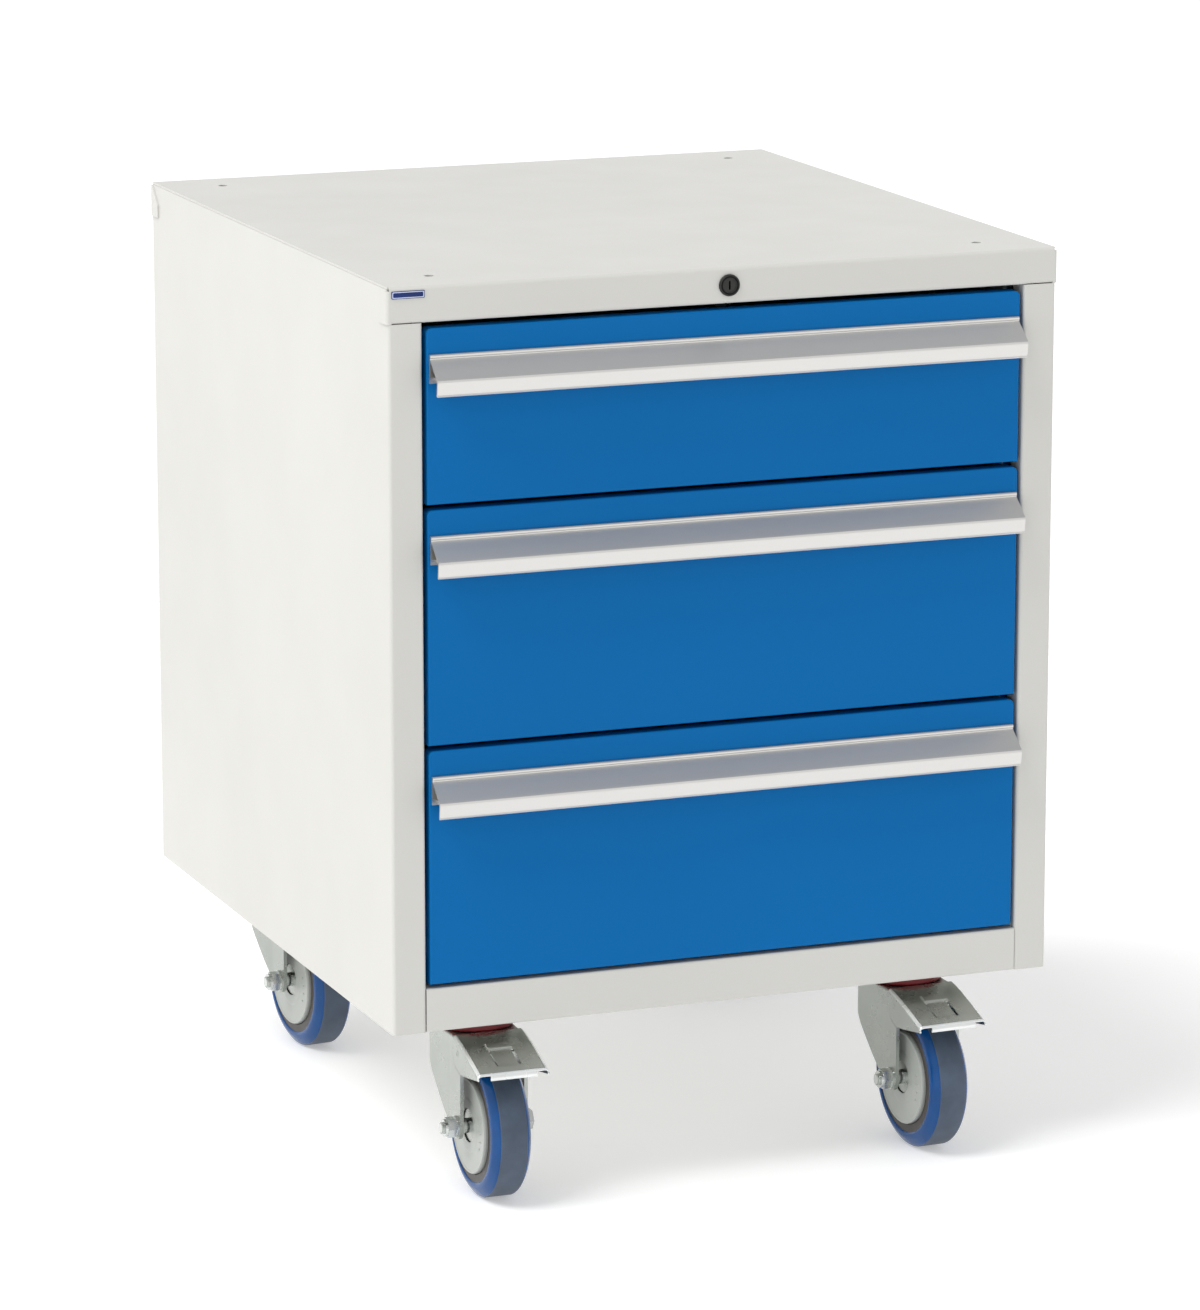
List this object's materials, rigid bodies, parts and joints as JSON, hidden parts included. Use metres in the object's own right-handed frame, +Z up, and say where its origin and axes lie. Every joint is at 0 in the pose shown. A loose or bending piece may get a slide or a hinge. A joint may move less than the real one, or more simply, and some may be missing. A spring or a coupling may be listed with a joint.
{
  "type": "rolling tool chest",
  "caption": "Sheet-steel tool cabinet on braked and free swivel castors, with full-extension drawers, full-width aluminium grip handles and a front cam lock.",
  "frame": {"origin": "middle of the bounding box, on the floor", "axes": "+Z up, the drawers open towards -Y, and +X is to the right of a viewer facing the drawers"},
  "size_m": [0.603, 0.6738, 0.792],
  "materials": {
    "cabinet_paint": "pale warm grey powder coat, satin, very fine orange peel",
    "drawer_paint": "mid blue powder coat, satin, very fine orange peel",
    "tray_paint": "light grey powder coat, satin",
    "anodised_aluminium": "silver anodised extrusion, satin, drawn lengthwise",
    "galvanised_sheet": "galvanised sheet, dull",
    "bright_zinc": "bright zinc plate, smooth, slightly yellow-green",
    "blue_tyre": "blue elastic tyre, satin, greyer along the tread",
    "rim_nylon": "dark moulded nylon",
    "guard_grey": "light grey moulded plastic, satin",
    "seal_red": "dark red moulded ring",
    "lock_black": "black, semi-gloss",
    "badge_blue": "blank blue plate, gloss"
  },
  "bodies": {
    "cabinet": {"left_side_panel": "cabinet_paint", "right_side_panel": "cabinet_paint", "top_panel": "cabinet_paint", "back_panel": "cabinet_paint", "base_panel": "cabinet_paint", "bottom_rail": "cabinet_paint", "base_channels": "galvanised_sheet", "runner_uprights": "galvanised_sheet", "outer_rails": "galvanised_sheet", "badge_plate": "badge_blue", "lock_housing": "lock_black", "castor_plates": "bright_zinc", "castor_plate_bolts": "bright_zinc", "dust_seals": "seal_red"},
    "drawer_1": {"drawer_front_1": "drawer_paint", "drawer_tray_1": "tray_paint", "drawer_handle_1": "anodised_aluminium", "inner_rails_1": "galvanised_sheet"},
    "runner_1": {"middle_rails_1": "galvanised_sheet"},
    "drawer_2": {"drawer_front_2": "drawer_paint", "drawer_tray_2": "tray_paint", "drawer_handle_2": "anodised_aluminium", "inner_rails_2": "galvanised_sheet"},
    "runner_2": {"middle_rails_2": "galvanised_sheet"},
    "drawer_3": {"drawer_front_3": "drawer_paint", "drawer_tray_3": "tray_paint", "drawer_handle_3": "anodised_aluminium", "inner_rails_3": "galvanised_sheet"},
    "runner_3": {"middle_rails_3": "galvanised_sheet"},
    "lock": {"lock_barrel": "lock_black", "lock_cam": "bright_zinc"},
    "lock_bar": {"lock_bar": "galvanised_sheet"},
    "castor_fl": {"fork_fl": "bright_zinc", "axle_fl": "bright_zinc", "pedal_pin_fl": "bright_zinc"},
    "wheel_fl": {"tyre_fl": "blue_tyre", "wheel_rim_fl": "rim_nylon", "wheel_bearings_fl": "bright_zinc", "thread_guards_fl": "guard_grey"},
    "pedal_fl": {"brake_pedal_fl": "bright_zinc"},
    "castor_fr": {"fork_fr": "bright_zinc", "axle_fr": "bright_zinc", "pedal_pin_fr": "bright_zinc"},
    "wheel_fr": {"tyre_fr": "blue_tyre", "wheel_rim_fr": "rim_nylon", "wheel_bearings_fr": "bright_zinc", "thread_guards_fr": "guard_grey"},
    "pedal_fr": {"brake_pedal_fr": "bright_zinc"},
    "castor_rl": {"fork_rl": "bright_zinc", "axle_rl": "bright_zinc"},
    "wheel_rl": {"tyre_rl": "blue_tyre", "wheel_rim_rl": "rim_nylon", "wheel_bearings_rl": "bright_zinc", "thread_guards_rl": "guard_grey"},
    "castor_rr": {"fork_rr": "bright_zinc", "axle_rr": "bright_zinc"},
    "wheel_rr": {"tyre_rr": "blue_tyre", "wheel_rim_rr": "rim_nylon", "wheel_bearings_rr": "bright_zinc", "thread_guards_rr": "guard_grey"}
  },
  "joints": [
    {"name": "drawer_1_slide", "type": "slide", "parent": "cabinet", "child": "drawer_1", "axis": [0, -1, 0], "range_m": [0, 0.58]},
    {"name": "runner_1_slide", "type": "slide", "parent": "cabinet", "child": "runner_1", "axis": [0, -1, 0], "range_m": [0, 0.2901]},
    {"name": "drawer_2_slide", "type": "slide", "parent": "cabinet", "child": "drawer_2", "axis": [0, -1, 0], "range_m": [0, 0.58]},
    {"name": "runner_2_slide", "type": "slide", "parent": "cabinet", "child": "runner_2", "axis": [0, -1, 0], "range_m": [0, 0.2901]},
    {"name": "drawer_3_slide", "type": "slide", "parent": "cabinet", "child": "drawer_3", "axis": [0, -1, 0], "range_m": [0, 0.58]},
    {"name": "runner_3_slide", "type": "slide", "parent": "cabinet", "child": "runner_3", "axis": [0, -1, 0], "range_m": [0, 0.2901]},
    {"name": "lock_turn", "type": "hinge", "parent": "cabinet", "child": "lock", "pos_m": [0, -0.31307, 0.777], "axis": [0, 1, 0], "range_deg": [0, 91]},
    {"name": "lock_bar_lift", "type": "slide", "parent": "cabinet", "child": "lock_bar", "axis": [0, 0, 1], "range_m": [0, 0.009]},
    {"name": "castor_fl_swivel", "type": "hinge", "parent": "cabinet", "child": "castor_fl", "pos_m": [-0.2, -0.23407, 0.1], "axis": [0, 0, 1], "continuous": true},
    {"name": "wheel_fl_spin", "type": "hinge", "parent": "castor_fl", "child": "wheel_fl", "pos_m": [-0.20035, -0.27407, 0.0625], "axis": [1, -0.0087, 0], "continuous": true},
    {"name": "pedal_fl_press", "type": "hinge", "parent": "castor_fl", "child": "pedal_fl", "pos_m": [-0.20042, -0.28207, 0.129], "axis": [1, -0.0087, 0], "range_deg": [0, 8]},
    {"name": "castor_fr_swivel", "type": "hinge", "parent": "cabinet", "child": "castor_fr", "pos_m": [0.2, -0.23407, 0.1], "axis": [0, 0, 1], "continuous": true},
    {"name": "wheel_fr_spin", "type": "hinge", "parent": "castor_fr", "child": "wheel_fr", "pos_m": [0.20154, -0.27404, 0.0625], "axis": [0.9993, 0.0384, 0], "continuous": true},
    {"name": "pedal_fr_press", "type": "hinge", "parent": "castor_fr", "child": "pedal_fr", "pos_m": [0.20184, -0.28203, 0.129], "axis": [0.9993, 0.0384, 0], "range_deg": [0, 8]},
    {"name": "castor_rl_swivel", "type": "hinge", "parent": "cabinet", "child": "castor_rl", "pos_m": [-0.2, 0.25793, 0.1], "axis": [0, 0, 1], "continuous": true},
    {"name": "wheel_rl_spin", "type": "hinge", "parent": "castor_rl", "child": "wheel_rl", "pos_m": [-0.19651, 0.21809, 0.0625], "axis": [0.9962, 0.0872, 0], "continuous": true},
    {"name": "castor_rr_swivel", "type": "hinge", "parent": "cabinet", "child": "castor_rr", "pos_m": [0.2, 0.25793, 0.1], "axis": [0, 0, 1], "continuous": true},
    {"name": "wheel_rr_spin", "type": "hinge", "parent": "castor_rr", "child": "wheel_rr", "pos_m": [0.23625, 0.27484, 0.0625], "axis": [-0.4226, 0.9063, 0], "continuous": true}
  ],
  "couplings": [
    {"joint": "runner_1_slide", "follows": "drawer_1_slide", "ratio": 0.5},
    {"joint": "runner_2_slide", "follows": "drawer_2_slide", "ratio": 0.5},
    {"joint": "runner_3_slide", "follows": "drawer_3_slide", "ratio": 0.5},
    {"joint": "lock_turn", "follows": "lock_bar_lift", "rad_per_m": 174.53}
  ]
}
